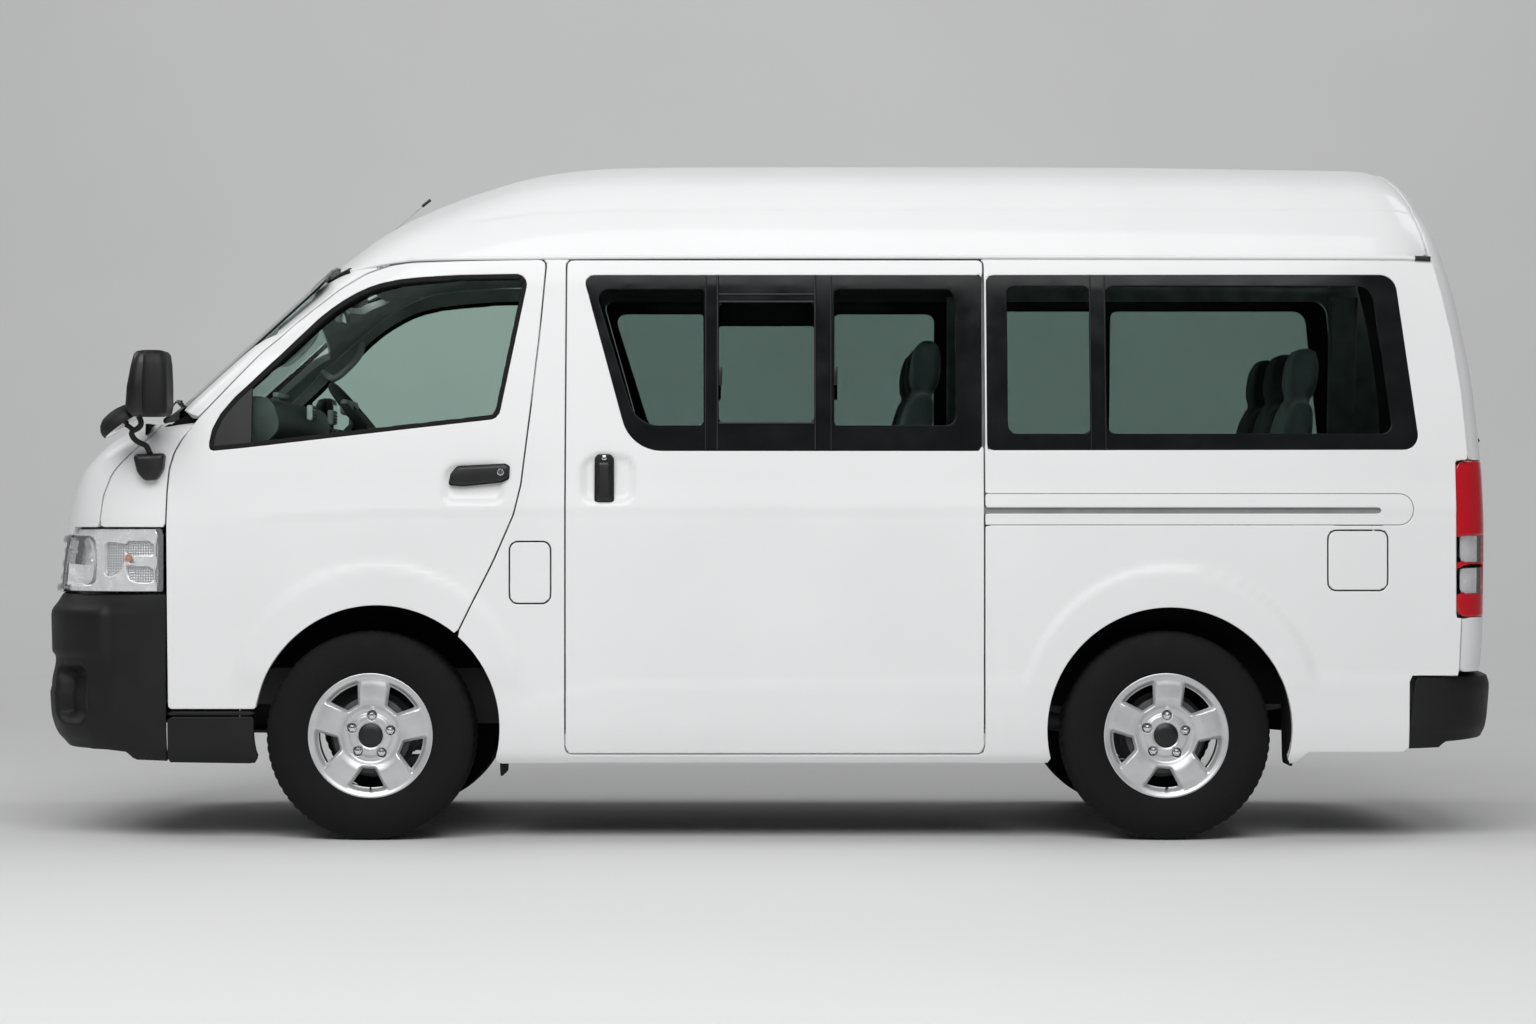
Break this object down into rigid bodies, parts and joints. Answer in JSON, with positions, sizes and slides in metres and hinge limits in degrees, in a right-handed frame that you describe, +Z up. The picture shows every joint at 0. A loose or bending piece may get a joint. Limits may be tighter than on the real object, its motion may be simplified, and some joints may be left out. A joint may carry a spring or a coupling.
{
  "type": "minibus",
  "caption": "High-roof minibus with two hinged front doors, sliding side doors, a lifting tailgate, three seat rows and steered front wheels",
  "frame": {"origin": "on the ground, below the middle of the overall box", "axes": "+X to the rear, +Y to the right side of the vehicle, +Z up"},
  "size_m": [4.8282, 2.07, 2.2449],
  "materials": {
    "paint": "gloss",
    "black_plastic": "satin",
    "glass_tinted": "gloss",
    "glass_clear": "gloss",
    "lamp_clear": "gloss",
    "lamp_red": "gloss",
    "tyre": "matte",
    "alloy": "satin",
    "steel_dark": "matte",
    "steel": "satin",
    "seat": "woven",
    "trim_grey": "satin",
    "liner": "matte",
    "mirror_shell": "satin",
    "steering_rim": "satin"
  },
  "bodies": {
    "body": {"frame": "steel_dark", "tow_eyes": "steel_dark", "floor": "trim_grey", "wheel_housings": "liner", "engine": "steel_dark", "body_side_left": "paint", "body_side_right": "paint", "roof": "paint", "cab_front": "black_plastic", "windscreen": "glass_clear", "fenders": "paint", "grille": "black_plastic", "headlamps": "lamp_clear", "front_bumper": "black_plastic", "corner_trims": "black_plastic", "sliding_door_left": "paint", "sliding_door_right": "paint", "sliding_door_glass": "glass_tinted", "quarter_glass": "glass_tinted", "tail_lamps": "lamp_red", "rear_bumper": "black_plastic", "front_suspension": "steel_dark", "rear_axle": "steel_dark", "exhaust": "steel", "fuel_tank": "black_plastic", "spare_wheel": "steel_dark", "dashboard": "trim_grey", "front_seats": "seat", "second_row_seats": "seat", "rear_row_seats": "seat", "fender_mirror": "mirror_shell", "wipers": "black_plastic", "aerial": "black_plastic"},
    "bonnet_panel": {"bonnet": "paint"},
    "left_door": {"front_door_left": "paint", "front_door_glass_left": "glass_clear"},
    "right_door": {"front_door_right": "paint", "front_door_glass_right": "glass_clear", "door_mirror": "mirror_shell"},
    "rear_door": {"tailgate": "paint", "tailgate_glass": "glass_tinted"},
    "fuel_flap": {"fuel_lid": "paint"},
    "service_flap": {"service_lid": "paint"},
    "steering": {"steering_wheel": "steering_rim"},
    "left_knuckle": {"knuckle_left": "steel_dark"},
    "right_knuckle": {"knuckle_right": "steel_dark"},
    "front_left_wheel": {"front_left_tyre": "tyre", "front_left_rim": "alloy"},
    "front_right_wheel": {"front_right_tyre": "tyre", "front_right_rim": "alloy"},
    "rear_left_wheel": {"rear_left_tyre": "tyre", "rear_left_rim": "alloy"},
    "rear_right_wheel": {"rear_right_tyre": "tyre", "rear_right_rim": "alloy"}
  },
  "joints": [
    {"name": "bonnet_hinge", "type": "hinge", "parent": "body", "child": "bonnet_panel", "pos_m": [-2.039, 0, 1.329], "axis": [0, 1, 0], "range_deg": [0, 50]},
    {"name": "left_door_hinge", "type": "hinge", "parent": "body", "child": "left_door", "pos_m": [-1.915, -0.8315, 0.79], "axis": [0, 0, -1], "range_deg": [0, 70]},
    {"name": "right_door_hinge", "type": "hinge", "parent": "body", "child": "right_door", "pos_m": [-1.915, 0.8315, 0.79], "axis": [0, 0, 1], "range_deg": [0, 70]},
    {"name": "tailgate_hinge", "type": "hinge", "parent": "body", "child": "rear_door", "pos_m": [2.08, 0, 2.197], "axis": [0, -1, 0], "range_deg": [0, 85]},
    {"name": "fuel_lid_hinge", "type": "hinge", "parent": "body", "child": "fuel_flap", "pos_m": [-0.809, -0.8355, 0.8655], "axis": [0, 0, -1], "range_deg": [0, 85]},
    {"name": "service_lid_hinge", "type": "hinge", "parent": "body", "child": "service_flap", "pos_m": [1.827, -0.8355, 0.904], "axis": [0, 0, -1], "range_deg": [0, 85]},
    {"name": "left_steer", "type": "hinge", "parent": "body", "child": "left_knuckle", "pos_m": [-1.284, -0.675, 0.338], "axis": [0, 0, 1], "range_deg": [-35, 35]},
    {"name": "right_steer", "type": "hinge", "parent": "body", "child": "right_knuckle", "pos_m": [-1.284, 0.675, 0.338], "axis": [0, 0, 1], "range_deg": [-35, 35]},
    {"name": "steering_wheel_turn", "type": "hinge", "parent": "body", "child": "steering", "pos_m": [-1.43, 0.37, 1.366], "axis": [0.7727, 0, 0.6347], "range_deg": [-560, 560]},
    {"name": "front_left_spin", "type": "hinge", "parent": "left_knuckle", "child": "front_left_wheel", "pos_m": [-1.284, -0.735, 0.338], "axis": [0, 1, 0], "continuous": true},
    {"name": "front_right_spin", "type": "hinge", "parent": "right_knuckle", "child": "front_right_wheel", "pos_m": [-1.284, 0.735, 0.338], "axis": [0, 1, 0], "continuous": true},
    {"name": "rear_left_spin", "type": "hinge", "parent": "body", "child": "rear_left_wheel", "pos_m": [1.286, -0.735, 0.338], "axis": [0, 1, 0], "continuous": true},
    {"name": "rear_right_spin", "type": "hinge", "parent": "body", "child": "rear_right_wheel", "pos_m": [1.286, 0.735, 0.338], "axis": [0, 1, 0], "continuous": true}
  ],
  "couplings": [
    {"joint": "right_steer", "follows": "left_steer", "ratio": 1},
    {"joint": "steering_wheel_turn", "follows": "left_steer", "ratio": 16}
  ]
}
